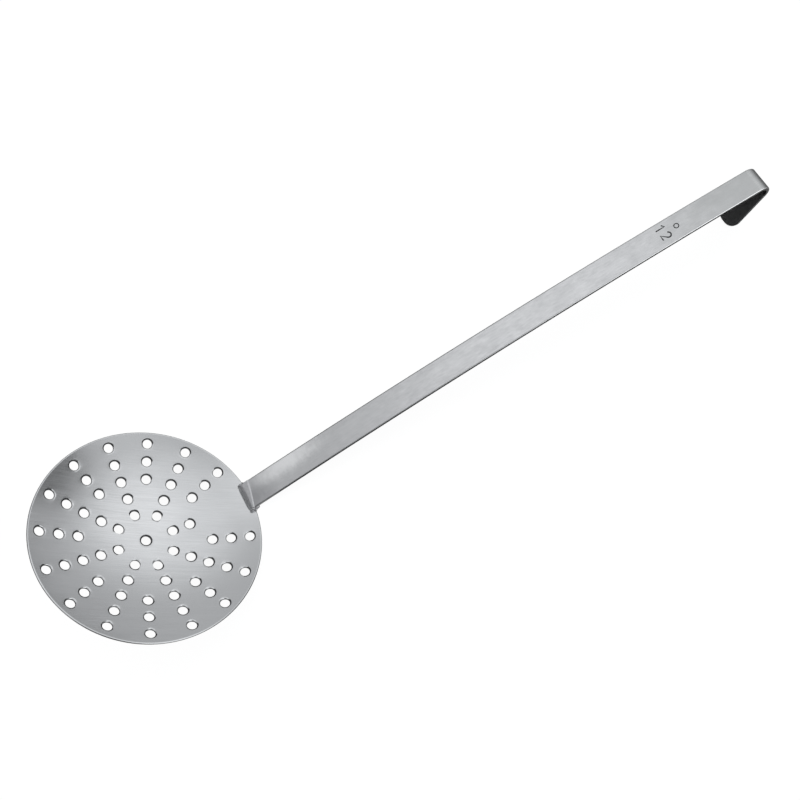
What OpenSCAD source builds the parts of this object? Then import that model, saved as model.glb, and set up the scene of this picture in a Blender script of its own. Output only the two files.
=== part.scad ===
// Kitchen skimmer in stainless steel: a shallow dish with rings of drain holes, and a flat
// strip welded to its rim as a handle, which rises in a slight arch and ends in a hanging hook.
// Sizes are in millimetres. The skimmer lies as it does on a table, on the edge of its rim and
// on the tip of its hook. +X runs from the bowl to the hook, +Y across the strip and +Z up.

/* [Bowl] */
// Outside diameter of the bowl at its rim
bowl_d = 120; // [100:1:160]
// Depth of the dish inside
dish_depth = 10.7; // [8:0.1:16]
// Thickness of the bowl's sheet
sheet_t = 1.2; // [0.8:0.1:2]

/* [Drain holes] */
// Diameter of a drain hole
hole_d = 5; // [3:0.1:6]
// Number of rings of holes round the hole at the centre
ring_count = 5; // [4:1:6]
// Number of inner rings that have a hole at every second place
sparse_rings = 2; // [1:1:3]
// Number of places for holes round a ring
ring_places = 16; // [12:2:18]
// Radius of the innermost ring
first_ring_r = 15.2; // [13:0.1:18]
// Distance from the rim in to the outermost ring
ring_border = 6.1; // [5:0.1:9]

/* [Handle] */
// Width of the strip at the bowl
root_w = 15.7; // [14:0.1:20]
// Width of the strip at the hook, to which it tapers
hook_w = 14.5; // [12:0.1:18]
// Thickness of the strip
strip_t = 2; // [1.6:0.1:3]
// Length of the strip from the bowl to the hook's bend
handle_l = 324; // [220:1:380]
// Angle at which the strip leaves the bowl, from the plane of the rim
handle_rise = 43; // [36:0.5:50]
// Radius of the strip's slight arch, along its middle
arch_r = 2300; // [1500:50:6000]
// How far the strip laps in over the rim
handle_lap = 3; // [2:0.1:5]

/* [Hook] */
// Inner radius of the hook's bend
hook_r = 5.5; // [5:0.1:12]
// Angle through which the strip is bent back
hook_turn = 126; // [115:1:140]
// Length of the straight leg beyond the bend
leg_l = 28; // [20:0.1:45]
// Radius of the two corners at the leg's tip
tip_r = 6.4; // [2:0.1:7]

/* [Welds] */
// Gap that the weld fills between the strip's end and the dish
weld_gap = 0.2; // [0.1:0.1:0.5]
// Radius of the bead inside the bowl
upper_bead_r = 1.7; // [1.2:0.1:2.2]
// How far the beads run past each side of the strip
bead_past = 1; // [0.5:0.1:2]

/* [Size mark] */
// Height of the stamped digits, the bowl's diameter in centimetres
digit_h = 6.2; // [4:0.1:7]
// Distance between the middles of the two digits
digit_pitch = 5; // [4:0.1:6]
// Width of a digit's stroke
stroke_w = 0.8; // [0.4:0.1:0.9]
// Depth of the stamping
mark_depth = 0.25; // [0.1:0.05:0.5]
// Distance of the digits' middle from the strip's middle, towards +Y
mark_aside = 0.8; // [0:0.1:2]
// Distance from the digits' feet to the hook's bend
mark_to_hook = 58.5; // [40:0.5:120]
// Outside diameter of the ring stamped beyond the digits
ring_mark_d = 3.2; // [2:0.1:4]
// Width of the ring's stroke
ring_stroke_w = 0.6; // [0.4:0.1:0.9]
// Gap between the digits' heads and the ring
ring_mark_gap = 3.4; // [1:0.1:5]
// Distance of the ring's middle from the strip's middle, towards +Y
ring_aside = 0.3; // [0:0.1:1]
// How much nearer the hook the second digit stands than the first
two_higher = 0.6; // [0:0.1:1]

/* [Hidden] */

$fn = 96;
// Facets on the dish's large sphere and on the arch's far larger circle
dish_fn = 360;
arch_fn = 1800;
// Extra length of a cutter past what it cuts
over = 1;
// The leg is drawn this much inside the bend's faces, so that it can start within the bend
hair = 0.01;

rim_r = bowl_d / 2;
// Inner radius of the spherical dish, whose centre lies on the bowl's axis
dish_r = (pow(rim_r, 2) + pow(dish_depth, 2)) / (2 * dish_depth);
mid_sheet_r = dish_r + sheet_t / 2;
// Middle of the sheet's round edge at the rim
edge_r = rim_r - sheet_t / 2;
edge_a = asin(edge_r / mid_sheet_r);
edge_z = dish_r - mid_sheet_r * cos(edge_a);
ring_step = (rim_r - ring_border - first_ring_r) / (ring_count - 1);

// The strip's end is cut to an arc round the bowl's axis, and its side corners seat on the dish
end_r = rim_r - handle_lap;
seat = [sqrt(pow(end_r, 2) - pow(root_w / 2, 2)), dish_inner_z(end_r) + weld_gap];

// Points and headings along the middle of the strip, in the plane of symmetry
arch_centre = seat + (strip_t / 2 - arch_r) * left_of(handle_rise);
arch_a = handle_l / arch_r * 180 / PI;
cut_a = 2 * handle_lap / arch_r * 180 / PI;
bend_r = hook_r + strip_t / 2;
bend_heading = handle_rise - arch_a;
bend_start = arch_centre + arch_r * left_of(bend_heading);
bend_centre = bend_start - bend_r * left_of(bend_heading);
leg_heading = bend_heading - hook_turn;
leg_end = bend_centre + bend_r * left_of(leg_heading) + leg_l * ahead(leg_heading);
tip_corner = leg_end + (strip_t / 2 - hair) * left_of(leg_heading);

// The straight line under the first stretch of the strip, twice as long as the lap
root_heading = handle_rise - handle_lap / arch_r * 180 / PI;

// The lower bead sits on the rim's edge and reaches up to the strip
strip_above_edge_z = seat[1] + (edge_r - seat[0]) * tan(handle_rise);
lower_bead_r = (strip_above_edge_z - edge_z) / 2;
lower_bead_z = (strip_above_edge_z + edge_z) / 2;
bead_half_a = asin((root_w / 2 + bead_past) / end_r);

// The table touches the rim's round edge and the outer corner of the hook's tip
edge_to_tip = tip_corner - [edge_r, edge_z];
rest_tilt = atan2(edge_to_tip[1], edge_to_tip[0]) + asin(sheet_t / 2 / norm(edge_to_tip));
lift = edge_r * sin(rest_tilt) - edge_z * cos(rest_tilt) + sheet_t / 2;
back_x = -edge_r * cos(rest_tilt) + edge_z * sin(rest_tilt) - sheet_t / 2;
front_x = bend_centre * ahead(rest_tilt) + hook_r + strip_t;

// Height of the dish's inner face at radius r from the bowl's axis
function dish_inner_z(r) = dish_r - sqrt(pow(dish_r, 2) - pow(r, 2));

// Unit vectors in the plane of symmetry: along a heading, and square to it on its left
function ahead(a) = [cos(a), sin(a)];
function left_of(a) = [-sin(a), cos(a)];

// Lays the skimmer, drawn with its bowl level and its origin at the dish's bottom, on the table
module on_table() {
    translate([-(back_x + front_x) / 2, 0, lift])
        rotate([0, rest_tilt, 0])
            children();
}

// Moves from the dish's bottom to the start of the hook's bend, with +X along the strip
module at_bend() {
    translate([bend_start[0], 0, bend_start[1]])
        rotate([0, -bend_heading, 0])
            children();
}

// Turns about a centre that lies at depth r below the origin
module turned_down(r, angle) {
    translate([0, 0, -r])
        rotate([0, angle, 0])
            translate([0, 0, r])
                children();
}

// Cross section of the pressed sheet, from the bowl's axis out to its round edge
module sheet_profile() {
    reach = 2 * dish_r;
    translate([0, dish_r]) {
        intersection() {
            difference() {
                circle(r = dish_r + sheet_t, $fn = dish_fn);
                circle(r = dish_r, $fn = dish_fn);
            }
            polygon([[0, 0], [0, -reach], [reach * sin(edge_a), -reach * cos(edge_a)]]);
        }
        rotate(edge_a)
            translate([0, -mid_sheet_r])
                circle(d = sheet_t);
    }
}

module plain_bowl() {
    rotate_extrude($fn = dish_fn)
        sheet_profile();
}

// One drain hole, punched square to the sheet at radius r and at angle a round the bowl
module drain_hole(r, a) {
    translate([0, 0, dish_r])
        rotate([0, -asin(r / mid_sheet_r), a])
            translate([0, 0, -dish_r - sheet_t - over])
                cylinder(d = hole_d, h = sheet_t + 2 * over);
}

// The rings of holes; the outer ones leave out the place under the handle
module drain_holes() {
    drain_hole(0, 0);
    for (ring = [0 : ring_count - 1]) {
        sparse = ring < sparse_rings;
        for (place = [sparse ? 0 : 1 : sparse ? 2 : 1 : ring_places - 1])
            drain_hole(first_ring_r + ring * ring_step, place * 360 / ring_places);
    }
}

module perforated_bowl() {
    color("silver")
        on_table()
            difference() {
                plain_bowl();
                drain_holes();
            }
}

// A bend of the strip whose centre lies at depth r below the origin. It starts at the origin,
// where the strip heads along +X, and runs on from there, or back from there
module bent_run(r, turn, w, onward = true) {
    translate([0, 0, -r])
        rotate([0, -90, onward ? -90 : 90])
            rotate_extrude(angle = turn)
                translate([r - strip_t / 2, -w / 2])
                    square([strip_t, w]);
}

// The long arch back from the hook to the bowl, with its sides cut to the taper
module arch_run() {
    widening = (root_w - hook_w) / 2 / handle_l;
    back = handle_l + handle_lap;
    drop = pow(back, 2) / arch_r;
    intersection() {
        bent_run(arch_r, arch_a + cut_a, max(root_w, hook_w) + 2 * over, onward = false,
                 $fn = arch_fn);
        translate([0, 0, -drop])
            linear_extrude(height = drop + strip_t)
                polygon([
                    [0, hook_w / 2], [-back, hook_w / 2 + back * widening],
                    [-back, -hook_w / 2 - back * widening], [0, -hook_w / 2]
                ]);
    }
}

// The hook's straight leg, along +X, whose tip has round corners. It starts a little way back
// inside the bend, which ends at the origin
module leg() {
    half_w = hook_w / 2 - hair;
    corner_r = min(tip_r, half_w - over / 10);
    back = over / 5;
    translate([-back, 0, hair - strip_t / 2])
        linear_extrude(height = strip_t - 2 * hair) {
            translate([0, -half_w])
                square([back + leg_l - corner_r, 2 * half_w]);
            translate([0, corner_r - half_w])
                square([back + leg_l, 2 * (half_w - corner_r)]);
            for (side = [-1, 1])
                translate([back + leg_l - corner_r, side * (half_w - corner_r)])
                    circle(r = corner_r);
        }
}

// A stamped stroke with round ends
module stroke(from, to) {
    run = to - from;
    translate(from)
        rotate(atan2(run[1], run[0]))
            translate([0, -stroke_w / 2])
                square([norm(run), stroke_w]);
    for (point = [from, to])
        translate(point)
            circle(d = stroke_w);
}

// A stamped ring of outside diameter d and stroke width w
module ring_stroke(d, w) {
    difference() {
        circle(d = d);
        circle(d = d - 2 * w);
    }
}

// The digit one, with its foot at the origin
module digit_one() {
    top = [0, digit_h - stroke_w / 2];
    stroke([0, stroke_w / 2], top);
    stroke(top, top - [0.25, 0.2] * digit_h);
}

// The digit two, with the middle of its foot at the origin
module digit_two() {
    bowl_r = 0.31 * digit_h;
    centre = [0, digit_h - bowl_r];
    foot = [-bowl_r + stroke_w / 2, stroke_w / 2];
    // The round head ends where the slanting stroke leaves it
    end_a = -40;
    start_a = 165;
    line_r = bowl_r - stroke_w / 2;
    intersection() {
        translate(centre)
            ring_stroke(2 * bowl_r, stroke_w);
        translate(centre)
            polygon([[0, 0], for (a = [end_a, 15, 65, 115, start_a]) 2 * bowl_r * ahead(a)]);
    }
    translate(centre + line_r * ahead(start_a))
        circle(d = stroke_w);
    stroke(foot, centre + line_r * ahead(end_a));
    stroke(foot, [-foot[0], foot[1]]);
}

// The size mark, read with the hook at the top
module size_mark() {
    translate([-mark_aside - digit_pitch / 2, 0])
        digit_one();
    translate([-mark_aside + digit_pitch / 2, two_higher])
        digit_two();
    translate([-ring_aside, digit_h + ring_mark_gap + ring_mark_d / 2])
        ring_stroke(ring_mark_d, ring_stroke_w);
}

// The size mark as a cutter in the strip's upper face
module size_mark_cut() {
    turned_down(arch_r, -mark_to_hook / arch_r * 180 / PI)
        translate([0, 0, strip_t / 2 - mark_depth])
            linear_extrude(height = mark_depth + over)
                rotate(-90)
                    size_mark();
}

// The strip, with its end over the bowl cut round to follow the rim
module handle_strip() {
    color("gainsboro")
        on_table()
            difference() {
                at_bend() {
                    arch_run();
                    bent_run(bend_r, hook_turn, hook_w);
                    turned_down(bend_r, hook_turn)
                        leg();
                }
                cylinder(r = end_r, h = 2 * rim_r);
                at_bend()
                    size_mark_cut();
            }
}

// A bead along the rim, whose section is drawn by the children
module bead() {
    color("darkgray")
        on_table()
            rotate(-bead_half_a)
                rotate_extrude(angle = 2 * bead_half_a, $fn = dish_fn)
                    children();
}

// The bead inside the bowl fills the corner between the dish and the strip's end
module weld_bead_upper() {
    bead()
        intersection() {
            translate([end_r, seat[1]])
                circle(r = upper_bead_r);
            translate([0, dish_r])
                circle(r = dish_r, $fn = dish_fn);
            square([end_r, dish_r]);
        }
}

// The bead under the strip sits on the rim's edge
module weld_bead_lower() {
    difference() {
        bead()
            difference() {
                translate([edge_r, lower_bead_z])
                    circle(r = lower_bead_r);
                sheet_profile();
            }
        on_table()
            translate([seat[0], 0, seat[1]])
                rotate([0, -root_heading, 0])
                    translate([-rim_r, -root_w, 0])
                        cube([2 * rim_r, 2 * root_w, rim_r]);
    }
}

perforated_bowl();
handle_strip();
weld_bead_upper();
weld_bead_lower();
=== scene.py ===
# Kitchen skimmer: a pressed bowl with punched drain holes, and a flat strip welded to its rim as
# a handle, bent back into a hanging hook. All in brushed stainless steel, on a white table.
from math import asin, atan2, cos, degrees, hypot, pi, radians, sin, sqrt

import bmesh
import bpy
from mathutils import Matrix, Vector
from mathutils.geometry import interpolate_bezier


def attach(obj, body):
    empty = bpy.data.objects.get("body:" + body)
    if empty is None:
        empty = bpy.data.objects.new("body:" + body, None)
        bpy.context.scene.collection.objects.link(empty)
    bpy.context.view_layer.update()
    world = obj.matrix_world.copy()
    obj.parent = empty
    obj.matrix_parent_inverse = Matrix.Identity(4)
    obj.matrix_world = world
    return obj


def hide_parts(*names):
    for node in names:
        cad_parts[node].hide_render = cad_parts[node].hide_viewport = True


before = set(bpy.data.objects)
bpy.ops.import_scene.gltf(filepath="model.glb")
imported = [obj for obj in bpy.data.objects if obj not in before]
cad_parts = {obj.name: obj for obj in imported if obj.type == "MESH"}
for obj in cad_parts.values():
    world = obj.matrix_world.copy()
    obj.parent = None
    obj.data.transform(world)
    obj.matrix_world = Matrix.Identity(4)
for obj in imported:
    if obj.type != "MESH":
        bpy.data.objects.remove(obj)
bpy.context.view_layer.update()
print("CAD frame loaded:", sorted(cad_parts))

# Sizes in millimetres and angles in degrees, as in the CAD source
bowl = {
    "diameter": 120.0,
    "depth": 10.7,
    "sheet": 1.2,
    "holeWidth": 5.0,
    "rings": 5,
    "sparseRings": 2,               # the inner rings, with a hole at every other place
    "placesRound": 16,
    "firstRing": 15.2,
    "rimBorder": 6.1,               # from the last ring to the rim
    "holeRounding": (0.8, 0.25),    # inside and under the dish
    "holeSegments": (4, 2),
    "lipSlant": (10, 72),           # of a hole's rounded lip against the sheet
    "rimSegments": 4,
    "rimFlat": 0.02,                # what the rim's roundings leave of its edge
    "rimBand": 1.7,                 # the plain band outside the last ring's cells
    "rimZone": 2.0,                 # a sharp edge this near to the rim's is no hole's
    "sharpOver": 60,
    "cellCuts": 8,                  # mesh faces along each side of a hole's cell
    "cellLoops": 2,                 # mesh loops between a hole and its cell's sides
    "hubLoops": 3,                  # and between the middle hole and the first ring's cells
    "merge": 0.02,
}
strip = {
    "rootWidth": 15.7,
    "hookWidth": 14.5,
    "thickness": 2.0,
    "length": 324.0,
    "rise": 43.0,                   # from the rim's plane
    "archRadius": 2300.0,
    "lap": 3.0,                     # in over the rim
    "weldGap": 0.2,                 # between the dish and the strip's end
    "hookRadius": 5.5,
    "hookTurn": 126.0,
    "legLength": 28.0,
    "tipRadius": 6.4,
    "topRounding": 0.85,
    "underRounding": 0.3,
    "archSteps": 64,
    "bendSteps": 36,
    "endCuts": 9,                   # mesh vertices between the corners of its welded end
    "tipSegments": 14,
    "topSegments": 4,
    "underSegments": 2,
    "sharpOver": (30, 50),          # before and after the top edges are rounded
    "edgeSideways": (0.2, 0.97),    # how far the faces of a rounded long edge look sideways
}
hair = 0.01


# Headings in the plane of symmetry, seen with the bowl level and the handle along +X
def ahead(angle):
    return Vector((cos(angle), 0, sin(angle)))


def leftOf(angle):
    return Vector((-sin(angle), 0, cos(angle)))


def dishHeight(radius):
    return dishRadius - sqrt(dishRadius ** 2 - radius ** 2)


rimRadius = bowl["diameter"] / 2
dishRadius = (rimRadius ** 2 + bowl["depth"] ** 2) / (2 * bowl["depth"])
midRadius = dishRadius + bowl["sheet"] / 2
edgeRadius = rimRadius - bowl["sheet"] / 2
edgeAngle = asin(edgeRadius / midRadius)
edgeHeight = dishRadius - midRadius * cos(edgeAngle)
endRadius = rimRadius - strip["lap"]
halfThick = strip["thickness"] / 2

rise = radians(strip["rise"])
seat = Vector((sqrt(endRadius ** 2 - (strip["rootWidth"] / 2) ** 2), 0,
               dishHeight(endRadius) + strip["weldGap"]))
archCentre = seat + (halfThick - strip["archRadius"]) * leftOf(rise)
bendHeading = rise - strip["length"] / strip["archRadius"]
bendRadius = strip["hookRadius"] + halfThick
bendStart = archCentre + strip["archRadius"] * leftOf(bendHeading)
bendCentre = bendStart - bendRadius * leftOf(bendHeading)
legHeading = bendHeading - radians(strip["hookTurn"])
legStart = bendCentre + bendRadius * leftOf(legHeading)
tipCorner = legStart + strip["legLength"] * ahead(legHeading) + (halfThick - hair) * leftOf(legHeading)

# The skimmer lies on its rim's round edge and on the outer corner of the hook's tip
edgeToTip = tipCorner - Vector((edgeRadius, 0, edgeHeight))
restTilt = atan2(edgeToTip.z, edgeToTip.x) + asin(bowl["sheet"] / 2 / edgeToTip.length)
lift = edgeRadius * sin(restTilt) - edgeHeight * cos(restTilt) + bowl["sheet"] / 2
backX = -edgeRadius * cos(restTilt) + edgeHeight * sin(restTilt) - bowl["sheet"] / 2
frontX = bendCentre.dot(ahead(restTilt)) + strip["hookRadius"] + strip["thickness"]
tableShift = Vector((-(backX + frontX) / 2, 0, lift)) * 0.001
onTable = (Matrix.Translation(tableShift) @ Matrix.Rotation(restTilt, 4, "Y")
           @ Matrix.Scale(0.001, 4))


# A point on the strip's upper face, by its distance back from the hook's bend and its side step
def onStrip(distance, aside):
    heading = bendHeading + distance / strip["archRadius"]
    spot = archCentre + (strip["archRadius"] + halfThick) * leftOf(heading)
    return onTable @ (spot + Vector((0, aside, 0)))


print("laid out: rest tilt %.2f degrees" % degrees(restTilt))


# Small helpers for meshes and objects
def newObject(name, mesh):
    piece = bpy.data.objects.new(name, mesh)
    bpy.context.scene.collection.objects.link(piece)
    return piece


def evaluatedMesh(piece):
    return bpy.data.meshes.new_from_object(piece.evaluated_get(bpy.context.evaluated_depsgraph_get()))


def vertsIn(geometry):
    return [g for g in geometry if isinstance(g, bmesh.types.BMVert)]


def facesIn(geometry):
    return [g for g in geometry if isinstance(g, bmesh.types.BMFace)]


def edgesOf(verts):
    return list({e for v in verts for e in v.link_edges})


def sharpEdges(bm, overAngle):
    return [e for e in bm.edges if len(e.link_faces) == 2 and e.calc_face_angle() > radians(overAngle)]


def roundEdges(bm, edges, offset, segments):
    bmesh.ops.bevel(bm, geom=edges, offset=offset, offset_type="OFFSET", segments=segments, profile=0.5,
                    affect="EDGES", clamp_overlap=False, material=-1)


def pieceFrom(bm, name, node, materials):
    bmesh.ops.recalc_face_normals(bm, faces=bm.faces)
    bmesh.ops.transform(bm, matrix=onTable, verts=bm.verts)
    mesh = bpy.data.meshes.new(name)
    bm.to_mesh(mesh)
    bm.free()
    for material in materials:
        mesh.materials.append(material)
    piece = newObject(name, mesh)
    smoothPiece(piece)
    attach(piece, "root")
    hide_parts(node)
    return piece


def smoothPiece(piece, sharpOver=38, faceWeight=60):
    mesh = piece.data
    mesh.polygons.foreach_set("use_smooth", [True] * len(mesh.polygons))
    mesh.set_sharp_from_angle(angle=radians(sharpOver))
    weighted = piece.modifiers.new("weightedNormals", "WEIGHTED_NORMAL")
    weighted.keep_sharp = True
    weighted.weight = faceWeight


# Small helpers for materials
def startMaterial(name):
    material = bpy.data.materials.new(name)
    material.use_nodes = True
    nodes = material.node_tree.nodes
    shader = nodes["Principled BSDF"]
    shader.inputs["Metallic"].default_value = 1.0
    return material, nodes, material.node_tree.links, shader


def streakNoise(nodes, links, coordinates, stretch, detail=4.0):
    mapping = nodes.new("ShaderNodeMapping")
    mapping.inputs["Scale"].default_value = stretch
    links.new(coordinates, mapping.inputs["Vector"])
    noise = nodes.new("ShaderNodeTexNoise")
    noise.inputs["Scale"].default_value = 1.0
    noise.inputs["Detail"].default_value = detail
    noise.inputs["Roughness"].default_value = 0.6
    links.new(mapping.outputs["Vector"], noise.inputs["Vector"])
    return noise.outputs["Fac"]


def spread(nodes, links, value, low, high, toLow, toHigh):
    mapRange = nodes.new("ShaderNodeMapRange")
    mapRange.inputs["From Min"].default_value = low
    mapRange.inputs["From Max"].default_value = high
    mapRange.inputs["To Min"].default_value = toLow
    mapRange.inputs["To Max"].default_value = toHigh
    links.new(value, mapRange.inputs["Value"])
    return mapRange.outputs["Result"]


# A noise stays mostly between 0.3 and 0.7
def spreadNoise(nodes, links, noise, toLow, toHigh):
    return spread(nodes, links, noise, 0.3, 0.7, toLow, toHigh)


def smoothRange(nodes, links, value, low, high, toLow, toHigh):
    result = spread(nodes, links, value, low, high, toLow, toHigh)
    result.node.interpolation_type = "SMOOTHSTEP"
    return result


def addUp(nodes, links, first, second, operation="ADD", clamp=False):
    math = nodes.new("ShaderNodeMath")
    math.operation = operation
    math.use_clamp = clamp
    links.new(first, math.inputs[0])
    if isinstance(second, float):
        math.inputs[1].default_value = second
    else:
        links.new(second, math.inputs[1])
    return math.outputs["Value"]


def steelColour(nodes, links, shader, tone, dark, light):
    ramp = nodes.new("ShaderNodeMix")
    ramp.data_type = "RGBA"
    ramp.inputs["A"].default_value = (*dark, 1)
    ramp.inputs["B"].default_value = (*light, 1)
    links.new(tone, ramp.inputs["Factor"])
    links.new(ramp.outputs["Result"], shader.inputs["Base Color"])
    return ramp.outputs["Result"]


def tintedBy(nodes, links, amount, colour, tinted):
    mix = nodes.new("ShaderNodeMix")
    mix.data_type = "RGBA"
    links.new(amount, mix.inputs["Factor"])
    links.new(colour, mix.inputs["A"])
    mix.inputs["B"].default_value = (*tinted, 1)
    return mix.outputs["Result"]


def brushBump(nodes, links, shader, height, strength, distance):
    bump = nodes.new("ShaderNodeBump")
    bump.inputs["Strength"].default_value = strength
    bump.inputs["Distance"].default_value = distance
    links.new(height, bump.inputs["Height"])
    links.new(bump.outputs["Normal"], shader.inputs["Normal"])


# How near a point is to a spot, from 0 at the edge of the given reach to 1 near its middle
def nearSpot(nodes, links, coordinates, place, reach, ragged):
    local = nodes.new("ShaderNodeMapping")
    local.vector_type = "TEXTURE"
    local.inputs["Location"].default_value = place
    local.inputs["Scale"].default_value = reach
    links.new(coordinates, local.inputs["Vector"])
    length = nodes.new("ShaderNodeVectorMath")
    length.operation = "LENGTH"
    links.new(local.outputs["Vector"], length.inputs[0])
    far = addUp(nodes, links, length.outputs["Value"], spreadNoise(nodes, links, ragged, -0.12, 0.12))
    return smoothRange(nodes, links, far, 1.15, 0.1, 0.0, 1.0)


# The brushed steels. The three noises are given by how many streaks there are in a metre along X,
# Y and Z, the bump in metres.
bowlLook = {
    "dark": (0.565, 0.57, 0.575),
    "light": (0.64, 0.645, 0.65),
    "roughness": (0.17, 0.27),
    "bump": 0.000007,
    "fine": (60, 2300, 60),
    "wide": (14, 380, 14),
    "cloudy": (30, 60, 30),
    "cloudyDetail": 3.0,
    "grainTurn": -29.5,             # of the grain, in degrees from the handle's direction
}
stripLook = {
    "dark": (0.56, 0.565, 0.57),
    "light": (0.67, 0.67, 0.675),
    "roughness": (0.30, 0.42),
    "bump": 0.000016,
    "fine": (220, 2600, 220),
    "wide": (12, 420, 12),
    "cloudy": (120, 160, 120),
    "cloudyDetail": 4.0,
    "ragged": (420, 260, 260),
    # spots: their place in millimetres from the strip's end and to the left, reach in metres, colour
    "paintedShadeAtWeld": (2, -2.5, (0.020, 0.013, 0.03), (0.42, 0.42, 0.43)),
    "paintedHighlightAtWeld": (30, 5.0, (0.026, 0.0085, 0.03), (0.97, 0.97, 0.97)),
    # round the hook: reach in metres, colour
    "paintedShadeRoundHook": ((0.07, 0.03, 0.05), (0.48, 0.487, 0.485)),
    "paintedHighlightOnEdges": ((0.22, 0.06, 0.09), (0.86, 0.86, 0.86)),
}
toneShares = {"fine": 0.55, "wide": 0.15, "cloudy": 0.3}


# The steel's colour and its cloudy noise
def brushedSteel(nodes, links, shader, coordinates, look):
    fine = streakNoise(nodes, links, coordinates, look["fine"])
    wide = streakNoise(nodes, links, coordinates, look["wide"], 2.0)
    cloudy = streakNoise(nodes, links, coordinates, look["cloudy"], look["cloudyDetail"])
    grain = addUp(nodes, links, spreadNoise(nodes, links, fine, 0.0, toneShares["fine"]),
                  spreadNoise(nodes, links, wide, 0.0, toneShares["wide"]))
    clouds = spreadNoise(nodes, links, cloudy, 0.0, toneShares["cloudy"])
    tone = addUp(nodes, links, grain, clouds, clamp=True)
    smooth, rough = look["roughness"]
    links.new(spread(nodes, links, tone, 0.2, 0.8, rough, smooth), shader.inputs["Roughness"])
    brushBump(nodes, links, shader, grain, 0.25, look["bump"])
    return steelColour(nodes, links, shader, tone, look["dark"], look["light"]), cloudy


def bowlSteelMaterial():
    material, nodes, links, shader = startMaterial("brushedBowlSteel")
    texture = nodes.new("ShaderNodeTexCoord")
    alongGrain = nodes.new("ShaderNodeMapping")     # the sheet's straight grain
    alongGrain.vector_type = "TEXTURE"
    alongGrain.inputs["Location"].default_value = tableShift
    alongGrain.inputs["Rotation"].default_value = (0, restTilt, radians(bowlLook["grainTurn"]))
    links.new(texture.outputs["Object"], alongGrain.inputs["Vector"])
    brushedSteel(nodes, links, shader, alongGrain.outputs["Vector"], bowlLook)
    return material


def stripSteelMaterial(name, roundHook):
    material, nodes, links, shader = startMaterial(name)
    along = nodes.new("ShaderNodeTexCoord").outputs["Object"]
    colour, cloudy = brushedSteel(nodes, links, shader, along, stripLook)
    # near the weld the strip gets a patch of painted shade, and a painted highlight along its left edge
    ragged = streakNoise(nodes, links, along, stripLook["ragged"], 3.0)
    for fromEnd, aside, reach, tinted in (stripLook["paintedShadeAtWeld"], stripLook["paintedHighlightAtWeld"]):
        spot = nearSpot(nodes, links, along, onStrip(strip["length"] - fromEnd, aside), reach, ragged)
        colour = tintedBy(nodes, links, spot, colour, tinted)
    # and round the hook its faces get a little painted shade and its edges a painted highlight
    reach, tinted = roundHook
    worn = nearSpot(nodes, links, along, onStrip(0, 0), reach, cloudy)
    colour = tintedBy(nodes, links, worn, colour, tinted)
    links.new(colour, shader.inputs["Base Color"])
    return material


# The steels without a grain. Only the part of the noise between the two limits shows in the colour,
# and the bump is its depth in metres.
# Painted shade: near black steel on the outer half of each hole's lip
lipShadeLook = {
    "noise": 1400,
    "detail": 3.0,
    "limits": (0.0, 1.0),
    "dark": (0.03, 0.03, 0.031),
    "light": (0.13, 0.13, 0.133),
    "roughness": (0.35, 0.55),
    "bump": 0.00004,
}
weldLook = {
    "noise": 700,
    "detail": 3.0,
    "limits": (0.3, 0.7),
    "dark": (0.46, 0.46, 0.47),
    "light": (0.60, 0.60, 0.61),
    "roughness": (0.30, 0.42),
    "bump": 0.00005,
}
# Painted shade: near black steel in the stamped strokes' grooves
grooveShadeLook = {
    "noise": 2500,
    "detail": 2.0,
    "limits": (0.0, 1.0),
    "dark": (0.02, 0.02, 0.021),
    "light": (0.10, 0.10, 0.103),
    "roughness": (0.45, 0.6),
    "bump": 0.0,
}


def mottledMaterial(name, look):
    material, nodes, links, shader = startMaterial(name)
    coordinates = nodes.new("ShaderNodeTexCoord").outputs["Object"]
    mottle = streakNoise(nodes, links, coordinates, [look["noise"]] * 3, look["detail"])
    tone = spread(nodes, links, mottle, *look["limits"], 0.0, 1.0)
    steelColour(nodes, links, shader, tone, look["dark"], look["light"])
    links.new(spreadNoise(nodes, links, mottle, *look["roughness"]), shader.inputs["Roughness"])
    if look["bump"]:
        brushBump(nodes, links, shader, mottle, 0.3, look["bump"])
    return material


bowlSteel = bowlSteelMaterial()
stripSteel = stripSteelMaterial("brushedStripSteel", stripLook["paintedShadeRoundHook"])
stripEdge = stripSteelMaterial("paintedHighlightStripEdge", stripLook["paintedHighlightOnEdges"])
weldSteel = mottledMaterial("weldMetal", weldLook)
grooveShadeSteel = mottledMaterial("stampedGroovePaintedShade", grooveShadeLook)
lipShadeSteel = mottledMaterial("paintedShadeLip", lipShadeLook)
print("materials made")


# The bowl, drawn first as a flat disc whose radius is measured along the dish, then pressed
def toRing(verts, ring, place):
    step = 2 * pi / bowl["placesRound"]
    for v in verts:
        distance = ring["low"] + (v.co.x + 0.5) * (ring["high"] - ring["low"])
        angle = (place + v.co.y) * step
        v.co = Vector((distance * cos(angle), distance * sin(angle), 0))


def bridgeLoops(bm, edges, loops):
    between = bmesh.ops.bridge_loops(bm, edges=edges)["edges"]
    bmesh.ops.subdivide_edges(bm, edges=between, cuts=loops, use_grid_fill=True)


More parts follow.
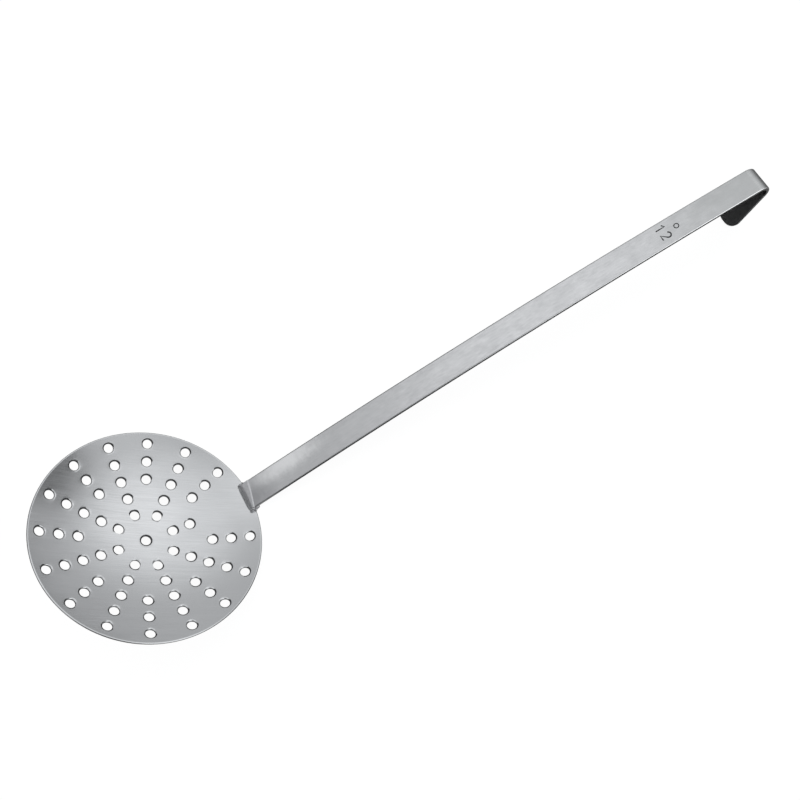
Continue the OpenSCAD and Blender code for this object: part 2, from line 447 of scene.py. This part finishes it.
# A cell of a ring, with or without its hole, from a square of unit size
def cellOf(bm, ring, place, punched):
    cuts = bowl["cellCuts"]
    grid = bmesh.ops.create_grid(bm, x_segments=cuts, y_segments=cuts, size=0.5)["verts"]
    if punched:
        inner = [v for v in grid if max(abs(v.co.x), abs(v.co.y)) < 0.499]
        bmesh.ops.delete(bm, geom=inner, context="VERTS")
        grid = [v for v in grid if v.is_valid]
    toRing(grid, ring, place)
    if punched:
        angle = place * 2 * pi / bowl["placesRound"]
        middle = Matrix.Translation((ring["middle"] * cos(angle), ring["middle"] * sin(angle), 0))
        turned = middle @ Matrix.Rotation(angle + pi / 4, 4, "Z")
        sides = edgesOf(grid)
        hole = bmesh.ops.create_circle(bm, segments=4 * cuts, radius=bowl["holeWidth"] / 2, matrix=turned)
        bridgeLoops(bm, sides + edgesOf(hole["verts"]), bowl["cellLoops"])


def discLoop(bm, radius):
    segments = bowl["placesRound"] * bowl["cellCuts"]
    turned = Matrix.Rotation(pi / bowl["placesRound"], 4, "Z")
    made = bmesh.ops.create_circle(bm, segments=segments, radius=radius, matrix=turned)
    return edgesOf(made["verts"])


def alongDish(radius):
    return asin(radius / midRadius) * dishRadius


def flatBowl():
    bm = bmesh.new()
    ringStep = (rimRadius - bowl["rimBorder"] - bowl["firstRing"]) / (bowl["rings"] - 1)
    middles = [bowl["firstRing"] + ringStep * i for i in range(bowl["rings"])]
    borders = [middles[0] - ringStep / 2] + [m + ringStep / 2 for m in middles[:-1]]
    borders.append(rimRadius - bowl["rimBand"])
    for i, middle in enumerate(middles):
        low, high = borders[i], borders[i + 1]
        ring = {"low": alongDish(low), "middle": alongDish(middle), "high": alongDish(high)}
        sparse = i < bowl["sparseRings"]
        for place in range(bowl["placesRound"]):
            punched = place % 2 == 0 if sparse else place != 0
            cellOf(bm, ring, place, punched)
    centreHole = discLoop(bm, bowl["holeWidth"] / 2)
    bridgeLoops(bm, centreHole + discLoop(bm, alongDish(borders[0])), bowl["hubLoops"])
    rimArc = (edgeAngle + (bowl["sheet"] / 2 - bowl["rimFlat"]) / midRadius) * dishRadius
    border = discLoop(bm, alongDish(borders[-1]))
    bridgeLoops(bm, border + discLoop(bm, rimArc), 1)
    bmesh.ops.remove_doubles(bm, verts=bm.verts, dist=bowl["merge"])
    return bm


def pressBowl(bm):
    for v in bm.verts:
        distance = hypot(v.co.x, v.co.y)
        angle = distance / dishRadius
        side = dishRadius * sin(angle) / max(distance, 1e-9)
        v.co = Vector((v.co.x * side, v.co.y * side, dishRadius * (1 - cos(angle))))
    bmesh.ops.recalc_face_normals(bm, faces=bm.faces)
    shell = bmesh.ops.extrude_face_region(bm, geom=list(bm.faces), use_keep_orig=True)["geom"]
    grow = (dishRadius + bowl["sheet"]) / dishRadius
    bmesh.ops.scale(bm, vec=(grow, grow, grow), verts=vertsIn(shell),
                    space=Matrix.Translation((0, 0, -dishRadius)))
    bmesh.ops.recalc_face_normals(bm, faces=bm.faces)


# The holes' sharp edges between two depths in the sheet
def holeEdges(bm, low, high):
    middle = Vector((0, 0, dishRadius))
    return [e for e in sharpEdges(bm, bowl["sharpOver"])
            if max(hypot(v.co.x, v.co.y) for v in e.verts) < edgeRadius - bowl["rimZone"]
            and all(low <= (v.co - middle).length - dishRadius + hair < high for v in e.verts)]


def rimEdges(bm):
    return [e for e in sharpEdges(bm, bowl["sharpOver"])
            if min(hypot(v.co.x, v.co.y) for v in e.verts) > edgeRadius - bowl["rimZone"]]


def roundBowl(bm):
    inside, under = bowl["holeRounding"]
    insideSegments, underSegments = bowl["holeSegments"]
    halfSheet = bowl["sheet"] / 2
    roundEdges(bm, holeEdges(bm, 0, halfSheet), inside, insideSegments)
    roundEdges(bm, holeEdges(bm, halfSheet, 2 * bowl["sheet"]), under, underSegments)
    roundEdges(bm, rimEdges(bm), halfSheet - bowl["rimFlat"], bowl["rimSegments"])


# The outer half of each hole's lip gets the second material, a near black painted shade
def shadeOuterLips(bm):
    bm.normal_update()
    flattest, steepest = [cos(radians(a)) for a in bowl["lipSlant"]]
    for face in bm.faces:
        place = face.calc_center_median()
        inward = (Vector((0, 0, dishRadius)) - place).normalized()
        outward = Vector((place.x, place.y, 0)).normalized()
        slant = abs(face.normal.dot(inward))
        onLip = steepest < slant < flattest and hypot(place.x, place.y) < edgeRadius - 1
        outerHalf = (face.normal - inward * slant).dot(outward) < -0.05
        face.material_index = 1 if onLip and outerHalf else 0


def bowlPiece():
    bm = flatBowl()
    pressBowl(bm)
    roundBowl(bm)
    shadeOuterLips(bm)
    print("bowl: %d faces" % len(bm.faces))
    pieceFrom(bm, "perforatedBowl", "perforated_bowl", [bowlSteel, lipShadeSteel])


bowlPiece()
print("bowl made")


# The handle: one section swept along the arch, round the hook's bend and down its leg
def sweptSection(bm, faces, centre, angle, steps):
    made = bmesh.ops.spin(bm, geom=faces, cent=centre, axis=(0, 1, 0), angle=angle, steps=steps,
                          use_merge=False, use_duplicate=False)
    return facesIn(made["geom_last"])


def stripWidthAt(distance):
    share = min(max(distance / strip["length"], 0), 1)
    return strip["hookWidth"] + (strip["rootWidth"] - strip["hookWidth"]) * share


def widthOf(edge):
    return abs((edge.verts[0].co - edge.verts[1].co).y)


# How far down the hook's leg a point is, or 0 for a point on the rest of the strip
def downLeg(place):
    if abs((place - legStart).dot(leftOf(legHeading))) > strip["thickness"]:
        return 0
    return (place - legStart).dot(ahead(legHeading))


# Whether an edge lies on the strip's outer face, the one that is on top along the handle
def isUpper(edge):
    middle = (edge.verts[0].co + edge.verts[1].co) / 2
    if 0 < downLeg(middle) < strip["legLength"] + 1:
        return (middle - legStart).dot(leftOf(legHeading)) > 0
    if (middle - bendStart).dot(ahead(bendHeading)) < 0:
        return (middle - Vector((archCentre.x, middle.y, archCentre.z))).length > strip["archRadius"]
    return (middle - Vector((bendCentre.x, middle.y, bendCentre.z))).length > bendRadius


def sweptStrip():
    bm = bmesh.new()
    bmesh.ops.create_grid(bm, x_segments=1, y_segments=1, size=0.5)
    section = (Matrix.Translation(seat + halfThick * leftOf(rise)) @ Matrix.Rotation(-rise, 4, "Y")
               @ Matrix.Rotation(pi / 2, 4, "Y") @ Matrix.Diagonal((strip["thickness"], 1, 1, 1)))
    bmesh.ops.transform(bm, matrix=section, verts=bm.verts)
    root = list(bm.verts)
    atBend = sweptSection(bm, list(bm.faces), archCentre, rise - bendHeading, strip["archSteps"])
    faces = sweptSection(bm, atBend, bendCentre, radians(strip["hookTurn"]), strip["bendSteps"])
    bmesh.ops.delete(bm, geom=atBend, context="FACES_ONLY")
    tipPart = strip["tipRadius"] + 1                # a little more than the tip's rounding needs
    for step in (strip["legLength"] - tipPart, tipPart):
        made = bmesh.ops.extrude_face_region(bm, geom=faces)["geom"]
        bmesh.ops.delete(bm, geom=faces, context="FACES_ONLY")
        faces = facesIn(made)
        bmesh.ops.translate(bm, vec=ahead(legHeading) * step, verts=vertsIn(made))
    for v in bm.verts:
        v.co.y *= stripWidthAt((bendStart - v.co).dot(ahead(bendHeading)))
    bmesh.ops.recalc_face_normals(bm, faces=bm.faces)
    corners = [e for e in faces[0].edges if widthOf(e) < hair]
    roundEdges(bm, corners, strip["tipRadius"], strip["tipSegments"])
    return bm, root


# The welded end is cut round to follow the rim
def cutRoot(bm, root):
    across = [e for e in bm.edges if e.verts[0] in root and e.verts[1] in root and widthOf(e) > 1]
    bmesh.ops.subdivide_edges(bm, edges=across, cuts=strip["endCuts"], use_grid_fill=True)
    for v in bm.verts:
        if abs((v.co - seat).dot(ahead(rise))) < 0.5:
            slide = (sqrt(endRadius ** 2 - v.co.y ** 2) - v.co.x) / cos(rise)
            v.co += slide * ahead(rise)
    bmesh.ops.recalc_face_normals(bm, faces=bm.faces)
    bm.normal_update()


def roundStrip(bm):
    before, after = strip["sharpOver"]
    above = [e for e in sharpEdges(bm, before) if isUpper(e)]
    roundEdges(bm, above, strip["topRounding"], strip["topSegments"])
    bm.normal_update()
    below = [e for e in sharpEdges(bm, after) if not isUpper(e)]
    roundEdges(bm, below, strip["underRounding"], strip["underSegments"])


# The long edges get the third material, with its painted highlight, up to the tip's rounding
def highlightLongEdges(bm):
    bm.normal_update()
    least, most = strip["edgeSideways"]
    beforeTip = strip["legLength"] - strip["tipRadius"]
    for face in bm.faces:
        onEdge = least < abs(face.normal.y) < most and downLeg(face.calc_center_median()) < beforeTip
        face.material_index = 2 if onEdge else 0


def stripMesh():
    bm, root = sweptStrip()
    cutRoot(bm, root)
    roundStrip(bm)
    highlightLongEdges(bm)
    return bm


# The stamped size number, the bowl's diameter in centimetres, with a plain ring beyond it. Sizes in
# millimetres.
mark = {
    "digitHeight": 6.2,
    "digitPitch": 5.0,
    "strokeWidth": 0.8,
    "aside": 0.8,
    "toHook": 58.5,
    "oneFlag": (0.25, 0.2),         # back and down, as shares of the digits' height
    "twoRadius": 0.31,              # of its round head, as a share of the digits' height
    "twoTurn": (165, -41, -12),     # its head's first and last angle in degrees, and the step
    "twoHigher": 0.6,
    "ringWidth": 3.2,
    "ringGap": 3.4,
    "ringAside": 0.3,
    "ringStroke": 0.6,
    "ringSides": 24,
    "strokeAbove": 0.05,            # the strokes' middle, above the strip's face
}


def strokePaths():
    tall, wide = mark["digitHeight"], mark["strokeWidth"]
    left = -mark["aside"] - mark["digitPitch"] / 2
    right = -mark["aside"] + mark["digitPitch"] / 2
    head = tall - wide / 2
    back, down = mark["oneFlag"]
    one = [(left, wide / 2), (left, head), (left - back * tall, head - down * tall)]
    roundHead = mark["twoRadius"] * tall
    line = roundHead - wide / 2
    up = mark["twoHigher"]
    turn = [radians(a) for a in range(*mark["twoTurn"])]
    two = [(right + line * cos(a), up + tall - roundHead + line * sin(a)) for a in turn]
    two += [(right - line, up + wide / 2), (right + line, up + wide / 2)]
    centre = tall + mark["ringGap"] + mark["ringWidth"] / 2
    line = (mark["ringWidth"] - mark["ringStroke"]) / 2
    turn = [radians(360 * i / mark["ringSides"]) for i in range(mark["ringSides"])]
    ring = [(line * cos(a) - mark["ringAside"], centre + line * sin(a)) for a in turn]
    thin = mark["ringStroke"] / wide
    return [(one, False, 1), (two, False, 1), (ring, True, thin)]


def stampCutter():
    curve = bpy.data.curves.new("stampStrokes", "CURVE")
    curve.dimensions = "3D"
    curve.bevel_depth = mark["strokeWidth"] / 2
    curve.bevel_resolution = 2
    curve.use_fill_caps = True
    for points, closed, thickness in strokePaths():
        spline = curve.splines.new("POLY")
        spline.points.add(len(points) - 1)
        spline.use_cyclic_u = closed
        for point, (x, y) in zip(spline.points, points):
            point.co = (y, -x, 0, 1)
            point.radius = thickness
    strokes = newObject("stampStrokes", curve)
    mesh = evaluatedMesh(strokes)
    bpy.data.objects.remove(strokes)
    heading = bendHeading + mark["toHook"] / strip["archRadius"]
    spot = archCentre + (strip["archRadius"] + halfThick + mark["strokeAbove"]) * leftOf(heading)
    mesh.transform(onTable @ Matrix.Translation(spot) @ Matrix.Rotation(-heading, 4, "Y"))
    mesh.materials.clear()
    mesh.materials.append(grooveShadeSteel)
    return newObject("stampCutter", mesh)


def handlePiece():
    piece = pieceFrom(stripMesh(), "handleStrip", "handle_strip",
                      [stripSteel, grooveShadeSteel, stripEdge])
    cutter = stampCutter()
    piece.modifiers.clear()
    cut = piece.modifiers.new("stamp", "BOOLEAN")
    cut.operation = "DIFFERENCE"
    cut.solver = "EXACT"
    cut.use_self = True
    cut.material_mode = "TRANSFER"
    cut.object = cutter
    stamped = evaluatedMesh(piece)
    piece.modifiers.clear()
    piece.data = stamped
    bpy.data.objects.remove(cutter)
    smoothPiece(piece)
    print("handle: %d faces" % len(stamped.polygons))


handlePiece()
print("handle made")


# The weld: inside the bowl a fillet that runs smoothly from the dish over the strip's end, and
# under the strip a bead on the rim's edge, with a flare along each side of the strip. Sizes in
# millimetres, pairs on the right and on the left.
weld = {
    "insidePast": 0.7,              # the fillet, beyond the strip's sides
    "inward": (0.9, 1.5, 0.7),      # from the strip's end in over the dish: right, middle, left
    "outward": (1.3, 4.5),          # from the strip's end out along it
    "outwardPower": 1.5,            # how much of that change is near the left side
    "fullUntil": (0.87, 0.84),      # its height falls off from these shares of its half width
    "narrowest": 0.4,               # what is left of its width there, from narrowAt on
    "narrowAt": 0.2,
    "footFrom": 0.5,                # its foot draws back from this share of its half width
    "footLeft": 0.1,
    "sunk": 0.04,                   # its borders, in the metal under them
    "shoulder": (0.15, 0.25),       # in from the strip's end, above the strip
    "crestHeight": 0.3,             # above the strip
    "crest": (0.3, 0.83),           # out from the strip's end, and its share of the way outward
    "outerBorder": (0.5, 0.3),      # likewise, and the share that's left where its height is 0
    "bends": ((0.6, 0.35), (0.3, 0.35), (0.4, 0.3)),    # how stiffly each curve leaves and arrives
    "curvePoints": 8,
    "stations": 60,                 # mesh lines across it
    "brushedFoot": 0.17,            # share of its width that is brushed with the dish
    "depth": 0.5,
    "knob": (1.9, 0.85, 1.35),      # at each corner: half its length, width and height
    "knobPlace": (0.1, 0.1, 1.7),   # out from the strip's end, in from its side, below its top
    "past": 1.0,                    # the under bead, beyond the strip's sides
    "beadSides": 24,
    "beadSteps": 96,
    "beadRounding": 6,              # the higher, the blunter its ends
    "beadTip": 0.03,
    "ripples": 11,
    "rippleDepth": 0.05,
    "flare": (2.4, 4.6),            # half its length along the strip's sides
    "flareWidth": 0.95,
    "flarePlace": (0.2, 0.15, 0.2),     # in from the bead's middle, in from the side, above it
    "flareCut": 0.6,
}


def stripTop(x):
    return seat.z + strip["thickness"] / cos(rise) + (x - seat.x) * sin(rise) / cos(rise)


# A line over the fillet, from its foot on the dish out along the strip, turned by its share of
# half the fillet's angle: -1 at the right end, 1 at the left one
def filletLine(side, half):
    angle = side * half
    isLeft = side >= 0
    onRight, onLeft = weld["outward"]
    outward = onRight + (onLeft - onRight) * ((side + 1) / 2) ** weld["outwardPower"]
    right, middle, left = weld["inward"]
    inward = middle + side * (left - right) / 2 + side * side * ((left + right) / 2 - middle)
    full = weld["fullUntil"][isLeft]
    fade = max(1 - max(abs(side) - full, 0) / (1 - full), 0)
    share = fade * fade * (3 - 2 * fade)            # of its full height

    def point(radius, above):
        narrow = endRadius + weld["narrowAt"]
        kept = weld["narrowest"] + (1 - weld["narrowest"]) * share
        radius = min(radius, narrow + (radius - narrow) * kept)
        dish = dishHeight(min(radius, edgeRadius)) - weld["sunk"]
        return Vector((radius, 0, dish + (stripTop(radius * cos(angle)) + above - dish) * share))

    taper = max(1 - max(abs(side) - weld["footFrom"], 0) / (1 - weld["footFrom"]), 0)
    footShare = weld["footLeft"] + (1 - weld["footLeft"]) * taper * (2 - taper)
    foot = Vector((endRadius - inward * footShare, 0, 0))
    foot.z = dishHeight(foot.x) - weld["sunk"]
    back, above = weld["shoulder"]
    shoulder = point(endRadius - back, above)
    out, follows = weld["crest"]
    crest = point(endRadius + out + follows * (outward - onRight), weld["crestHeight"])
    out, least = weld["outerBorder"]
    end = point(endRadius + out + (outward - out) * (least + (1 - least) * share), -weld["sunk"])

    onDish = Vector((cos(edgeAngle), 0, sin(edgeAngle)))
    slope = ((shoulder - foot).normalized() + ahead(rise)).normalized()
    toShoulder, toCrest, toEnd = (shoulder - foot).length, (crest - shoulder).length, (end - crest).length
    first, second, third = weld["bends"]
    curves = [(foot, onDish * first[0] * (shoulder.x - foot.x), slope * first[1] * toShoulder, shoulder),
              (shoulder, slope * second[0] * toCrest, ahead(rise) * second[1] * toCrest, crest),
              (crest, ahead(rise) * third[0] * toEnd, ahead(rise) * third[1] * toEnd, end)]
    line = [foot]
    for start, leave, arrive, stop in curves:
        line += interpolate_bezier(start, start + leave, stop - arrive, stop, weld["curvePoints"])[1:]
    turned = Matrix.Rotation(angle, 3, "Z")
    return [turned @ v for v in line]


# A ball of weld, lengthened along the strip
def weldBall(bm, place, size):
    shape = Matrix.Translation(place) @ Matrix.Rotation(-rise, 4, "Y") @ Matrix.Diagonal((*size, 1))
    return bmesh.ops.create_uvsphere(bm, u_segments=24, v_segments=16, radius=1, matrix=shape)["verts"]


def filletPiece():
    stations = weld["stations"]
    columns = 3 * (weld["curvePoints"] - 1)
    bm = bmesh.new()
    grid = bmesh.ops.create_grid(bm, x_segments=columns, y_segments=stations, size=0.5)["verts"]
    for face in bm.faces:                           # its foot is brushed with the dish
        face.material_index = 1 if face.calc_center_median().x + 0.5 < weld["brushedFoot"] else 0
    half = asin((strip["rootWidth"] / 2 + weld["insidePast"]) / endRadius)
    lines = [filletLine(2 * i / stations - 1, half) for i in range(stations + 1)]
    for v in grid:
        v.co = lines[round((v.co.y + 0.5) * stations)][round((v.co.x + 0.5) * columns)]
    shell = bmesh.ops.extrude_face_region(bm, geom=bm.faces[:], use_keep_orig=True)["geom"]
    bmesh.ops.translate(bm, vec=(0, 0, -weld["depth"]), verts=vertsIn(shell))
    out, inset, down = weld["knobPlace"]
    for side in (-1, 1):
        aside = side * (strip["rootWidth"] / 2 - inset)
        weldBall(bm, Vector((endRadius + out, aside, stripTop(endRadius) - down)), weld["knob"])
    pieceFrom(bm, "weldInside", "weld_bead_upper", [weldSteel, bowlSteel])


def underBeadPiece():
    stripUnder = seat.z + (edgeRadius - seat.x) * sin(rise) / cos(rise)
    radius = (stripUnder - edgeHeight) / 2
    centre = Vector((edgeRadius, 0, (stripUnder + edgeHeight) / 2))
    half = asin((strip["rootWidth"] / 2 + weld["past"]) / endRadius)
    bm = bmesh.new()
    section = Matrix.Translation(centre) @ Matrix.Rotation(pi / 2, 4, "X")
    bmesh.ops.create_circle(bm, segments=weld["beadSides"], radius=radius, cap_ends=True, matrix=section)
    bmesh.ops.rotate(bm, verts=bm.verts, cent=(0, 0, 0), matrix=Matrix.Rotation(-half, 3, "Z"))
    bmesh.ops.spin(bm, geom=bm.faces[:], cent=(0, 0, 0), axis=(0, 0, 1), angle=2 * half,
                   steps=weld["beadSteps"], use_merge=False, use_duplicate=False)
    for v in bm.verts:
        angle = atan2(v.co.y, v.co.x)
        toEnd = min(abs(angle) / half, 1)
        wave = 1 - weld["rippleDepth"] * (0.5 + 0.5 * cos(weld["ripples"] * pi * angle / half))
        size = sqrt(max(1 - toEnd ** weld["beadRounding"], weld["beadTip"])) * wave
        core = Matrix.Rotation(angle, 3, "Z") @ centre
        v.co = core + (v.co - core) * size
    back, inset, up = weld["flarePlace"]
    for side, reach in zip((-1, 1), weld["flare"]):
        root = Vector((centre.x - back, side * (strip["rootWidth"] / 2 - inset), centre.z + up))
        made = weldBall(bm, root, (reach, weld["flareWidth"], radius))
        around = list({g for v in made for g in (*v.link_edges, *v.link_faces)})
        bmesh.ops.bisect_plane(bm, geom=made + around, plane_co=root - weld["flareCut"] * ahead(rise),
                               plane_no=-ahead(rise), clear_outer=True, dist=1e-6)
    openEdges = [e for e in bm.edges if len(e.link_faces) == 1]
    bmesh.ops.holes_fill(bm, edges=openEdges, sides=0)
    pieceFrom(bm, "weldUnder", "weld_bead_lower", [weldSteel])


filletPiece()
underBeadPiece()
print("weld beads made")


# Floor, lights and camera, with sizes in metres and angles in degrees
studio = {
    "tableSize": 4.0,
    "floorSeen": 0.93,              # what the camera sees of it, before the light that falls on it
    "floorLit": 0.14,
    "shadeUnderHandle": 0.008,           # the table's painted glow and shade, as the steel sees them
    "glowUnderBowl": 0.5,
    "bowlMiddle": (-0.175, 0, 0),
    "bowlReach": (0.06, 0.085),
    "glowBeyondHook": 0.15,
    "hookReach": (0.204, 0.22),
    "horizon": 0.56,                # the room's brightness at the horizon, and from hazeTop up
    "overhead": 0.62,
    "hazeTop": 24,
    "darkest": 0.01,
    "tint": (0.985, 1.0, 1.02),
    # soft screens round the table, and dark flags: azimuth, elevation, inner and outer spread, strength
    "screens": [(19, 43, 11, 27, 0.42), (74, 72, 8, 23, 0.47), (306, 32, 12, 32, 0.9),
                (112, 22, 10, 40, -0.3), (-7, 19, 3, 14, -0.5), (15, -4, 3, 13, -0.15),
                (-5, 32, 2, 10, -0.1), (240, 28, 14, 40, -0.5), (165, 4, 18, 44, -0.62),
                (18, 22, 3, 12, 0.06)],
    # softboxes: azimuth, elevation, distance, size, power
    "softboxes": [("bowlSoftbox", 18, 42, 1.4, 0.5, 0.12), ("handleSoftbox", 84, 74, 1.4, 0.5, 0.12)],
    "softboxTarget": (-0.05, 0, 0.02),
}
cameraView = {
    "place": (-0.03858, -0.17505, 0.51947),
    "turn": (17.858, 7.411, -29.453),
    "lens": 44.22,
    "shift": (-0.0005, -0.0002),
}


def headingFrom(azimuth, elevation):
    flat = cos(radians(elevation))
    return Vector((cos(radians(azimuth)) * flat, sin(radians(azimuth)) * flat, sin(radians(elevation))))


def makeWorld():
    world = bpy.data.worlds.new("studio")
    world.use_nodes = True
    nodes, links = world.node_tree.nodes, world.node_tree.links
    direction = nodes.new("ShaderNodeTexCoord").outputs["Generated"]
    height = nodes.new("ShaderNodeSeparateXYZ")
    links.new(direction, height.inputs["Vector"])
    brightness = smoothRange(nodes, links, height.outputs["Z"], 0, sin(radians(studio["hazeTop"])),
                             studio["horizon"], studio["overhead"])
    for azimuth, elevation, inner, outer, strength in studio["screens"]:
        facing = nodes.new("ShaderNodeVectorMath")
        facing.operation = "DOT_PRODUCT"
        facing.inputs[1].default_value = headingFrom(azimuth, elevation)
        links.new(direction, facing.inputs[0])
        screen = smoothRange(nodes, links, facing.outputs["Value"], cos(radians(outer)),
                             cos(radians(inner)), 0, strength)
        brightness = addUp(nodes, links, brightness, screen)
    background = nodes["Background"]
    background.inputs["Color"].default_value = (*studio["tint"], 1)
    atLeast = addUp(nodes, links, brightness, studio["darkest"], "MAXIMUM")
    links.new(atLeast, background.inputs["Strength"])
    bpy.context.scene.world = world


def makeSoftboxes():
    target = Vector(studio["softboxTarget"])
    for name, azimuth, elevation, distance, size, power in studio["softboxes"]:
        light = bpy.data.lights.new(name, "AREA")
        light.shape = "DISK"
        light.size = size
        light.energy = power
        lamp = newObject(name, light)
        lamp.location = target + headingFrom(azimuth, elevation) * distance
        lamp.rotation_euler = (target - lamp.location).to_track_quat("-Z", "Y").to_euler()
        lamp.visible_camera = False


# A surface without gloss that glows white, at a strength that is set apart
def setMatte(shader, base, roughness):
    shader.inputs["Base Color"].default_value = (base, base, base, 1)
    shader.inputs["Roughness"].default_value = roughness
    shader.inputs["Metallic"].default_value = 0.0
    shader.inputs["Specular IOR Level"].default_value = 0.0
    shader.inputs["Emission Color"].default_value = (1, 1, 1, 1)


# The table looks different to the camera than to the steel: to the steel it glows, with a painted glow
# under the bowl and beyond the hook and painted shade under the handle
def tableMaterial():
    material, nodes, links, inSteel = startMaterial("whiteTable")
    spot = nodes.new("ShaderNodeTexCoord").outputs["Object"]
    place = nodes.new("ShaderNodeSeparateXYZ")
    links.new(spot, place.inputs["Vector"])
    fromBowl = nodes.new("ShaderNodeVectorMath")
    fromBowl.operation = "DISTANCE"
    fromBowl.inputs[1].default_value = studio["bowlMiddle"]
    links.new(spot, fromBowl.inputs[0])
    near, far = studio["bowlReach"]
    left = smoothRange(nodes, links, fromBowl.outputs["Value"], far, near,
                       studio["shadeUnderHandle"], studio["glowUnderBowl"])
    near, far = studio["hookReach"]
    right = smoothRange(nodes, links, place.outputs["X"], near, far, 0.0,
                        studio["glowBeyondHook"] - studio["shadeUnderHandle"])
    setMatte(inSteel, 0, 0.8)
    links.new(addUp(nodes, links, left, right), inSteel.inputs["Emission Strength"])
    seen = nodes.new("ShaderNodeBsdfPrincipled")
    setMatte(seen, studio["floorLit"], 1.0)
    seen.inputs["Emission Strength"].default_value = studio["floorSeen"]
    path = nodes.new("ShaderNodeLightPath")
    mix = nodes.new("ShaderNodeMixShader")
    links.new(path.outputs["Is Camera Ray"], mix.inputs["Fac"])
    links.new(inSteel.outputs["BSDF"], mix.inputs[1])
    links.new(seen.outputs["BSDF"], mix.inputs[2])
    links.new(mix.outputs["Shader"], nodes["Material Output"].inputs["Surface"])
    return material


def makeTable():
    bm = bmesh.new()
    bmesh.ops.create_grid(bm, x_segments=4, y_segments=4, size=studio["tableSize"])
    mesh = bpy.data.meshes.new("tableTop")
    bm.to_mesh(mesh)
    bm.free()
    mesh.materials.append(tableMaterial())
    newObject("tableTop", mesh)


def makeCamera():
    camera = bpy.data.cameras.new("camera")
    camera.lens = cameraView["lens"]
    camera.sensor_width = 36
    camera.clip_start = 0.01
    camera.shift_x, camera.shift_y = cameraView["shift"]
    seen = newObject("camera", camera)
    seen.location = cameraView["place"]
    seen.rotation_euler = [radians(a) for a in cameraView["turn"]]
    bpy.context.scene.camera = seen


makeTable()
makeWorld()
makeSoftboxes()
makeCamera()
bpy.context.scene.view_settings.view_transform = "Standard"
print("table, lights and camera made")
